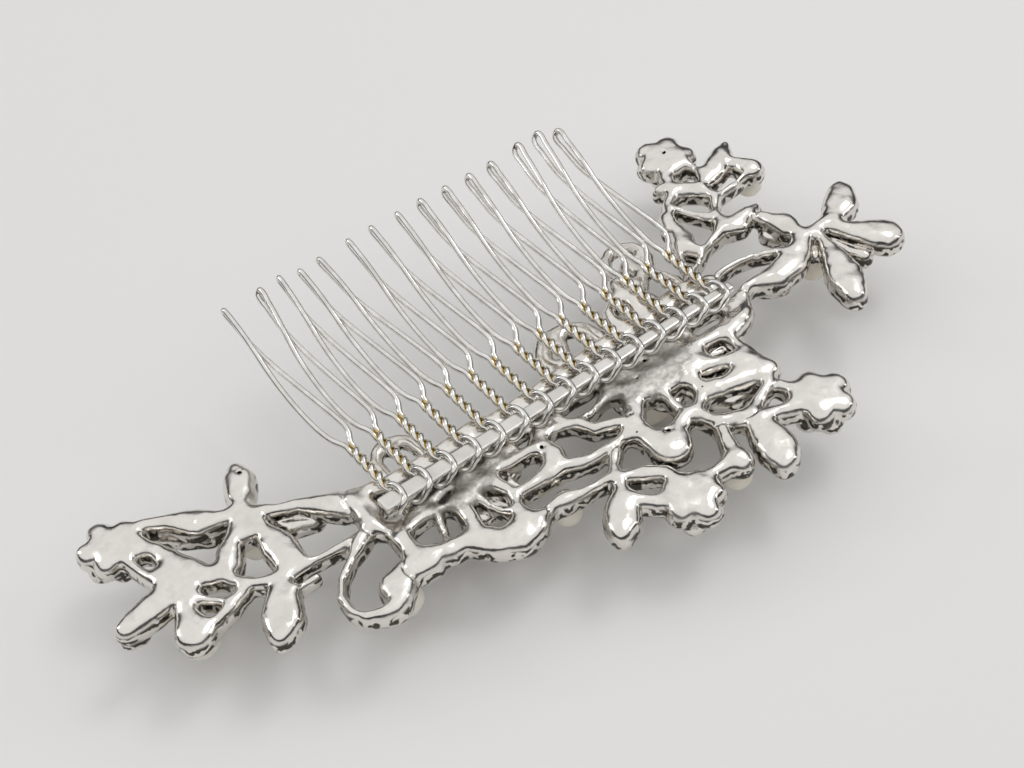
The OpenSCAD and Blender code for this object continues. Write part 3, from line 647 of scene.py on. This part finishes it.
def chaton():
    """One cut stone, a unit across, table down and foiled cone up."""
    bpy.ops.object.select_all(action="DESELECT")
    bpy.ops.mesh.primitive_cylinder_add(vertices=12, radius=0.5, depth=0.12)
    piece = bpy.context.object
    edit(piece)
    pick_faces(piece, lambda c, n: n.z < -0.9)
    bpy.ops.mesh.extrude_region_move(TRANSFORM_OT_translate={"value": (0, 0, -0.14)})
    bpy.ops.transform.resize(value=(0.8, 0.8, 1))
    bpy.ops.mesh.extrude_region_move(TRANSFORM_OT_translate={"value": (0, 0, -0.06)})
    bpy.ops.transform.resize(value=(0.72, 0.72, 1))
    pick_faces(piece, lambda c, n: n.z > 0.9)
    bpy.ops.mesh.extrude_region_move(TRANSFORM_OT_translate={"value": (0, 0, 0.2)})
    bpy.ops.transform.resize(value=(0.45, 0.45, 1))
    leave()
    return piece


def set_stones(node, name):
    """One cut stone in the place of each of the node's solids, joined into one piece."""
    shells = merged_copy(node)
    edit(shells)
    bpy.ops.mesh.separate(type="LOOSE")
    leave()
    shells = list(bpy.context.selected_objects)
    stone = chaton()
    stones = []
    for shell in sorted(shells, key=lambda s: tuple(round(v, 3) for v in s.bound_box[0])):
        corners = np.array(shell.bound_box)
        low, high = corners.min(0), corners.max(0)
        copy = bpy.data.objects.new("stone", stone.data.copy())
        bpy.context.scene.collection.objects.link(copy)
        copy.scale = (high - low) / (1, 1, CUT_HEIGHT)
        copy.location = (low + high) / 2
        stones.append(copy)
    for shell in shells + [stone]:
        bpy.data.objects.remove(shell)
    only(*stones)
    bpy.ops.object.transform_apply(location=True, rotation=True, scale=True)
    bpy.ops.object.join()
    hand_over(stones[0], name, crystal, "clear_stone", node)


set_stones("flower_stones", "cut_flower_stones")
set_stones("leaf_stones", "cut_leaf_stones")


# ------------------------------------------------------------------ stage

FLOOR_GAP = 0.0001            # m
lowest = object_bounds()[0].z
bpy.ops.object.select_all(action="DESELECT")
bpy.ops.mesh.primitive_plane_add(size=40, location=(0, 0, lowest - FLOOR_GAP))
floor = bpy.context.object
floor.name = "floor"
paper, tree, _, shader = material("pale_paper")
plug(tree, shader, {"Base Color": "#EDECEA", "Roughness": 0.9})
# seen from underneath the floor is clear, so that the front can be looked at
under = add(tree, "NewGeometry").outputs["Backfacing"]
mixed = add(tree, "MixShader", (under, shader, add(tree, "BsdfTransparent")))
plug(tree, tree.nodes["Material Output"], (mixed,))
floor.data.materials.append(paper)

world = bpy.data.worlds.new("studio")
world.use_nodes = True
sky = world.node_tree
# a white tent over the table, open round its skirts: bright overhead, dim near the floor
up = add(sky, "SeparateXYZ", (add(sky, "TexCoord").outputs["Generated"],))
height = add(sky, "MapRange", (up.outputs[2], -1, 1))
tent = add(sky, "ValToRGB", (height,), (
    (0.0, "#C9C9C9"), (0.49, "#BDBDBD"), (0.52, "#4A4B4D"),
    (0.67, "#333436"), (0.77, "#EFEFF0"), (1.0, "#F4F4F4")))
plug(sky, sky.nodes["Background"], (tent.outputs[0], 1.0))
bpy.context.scene.world = world


def direction(azimuth, elevation):
    """From the comb towards a light or camera; azimuth 0 is the ornament's side."""
    a, e = math.radians(azimuth), math.radians(elevation)
    return Vector((math.sin(a) * math.cos(e), -math.cos(a) * math.cos(e), math.sin(e)))


def softbox(name, azimuth, elevation, distance, wide, tall, power):
    """A diffused panel aimed at the middle of the comb."""
    back = direction(azimuth, elevation)
    light = bpy.data.lights.new(name, "AREA")
    light.shape, light.size, light.size_y, light.energy = "RECTANGLE", wide, tall, power
    lamp = bpy.data.objects.new(name, light)
    bpy.context.scene.collection.objects.link(lamp)
    lamp.location = back * distance
    lamp.rotation_euler = (-back).to_track_quat("-Z", "Y").to_euler()


softbox("key_panel", 95, 58, 0.7, 0.25, 0.2, 0.55)
softbox("rim_panel", -140, 26, 0.8, 0.16, 0.4, 0.45)
softbox("side_panel", 60, 22, 0.8, 0.12, 0.4, 0.3)

lens = bpy.data.cameras.new("camera")
lens.lens, lens.sensor_width = 52.9, 36    # mm
camera = bpy.data.objects.new("camera", lens)
bpy.context.scene.collection.objects.link(camera)
# looking down on the comb's back from beyond its left end, tipped clockwise
AZIMUTH, ELEVATION, ROLL = -30.78, 46.7, -8.49     # degrees
TARGET, DISTANCE = Vector((-5.5, 4.4, 1.8)) * MM, 0.2
back = direction(AZIMUTH, ELEVATION)
camera.location = TARGET + back * DISTANCE
camera.rotation_euler = (back.to_track_quat("Z", "Y")
                         @ Quaternion((0, 0, 1), math.radians(ROLL))).to_euler()
lens.clip_start, lens.clip_end = 0.01, 100
bpy.context.scene.camera = camera
bpy.context.scene.view_settings.view_transform = "Standard"
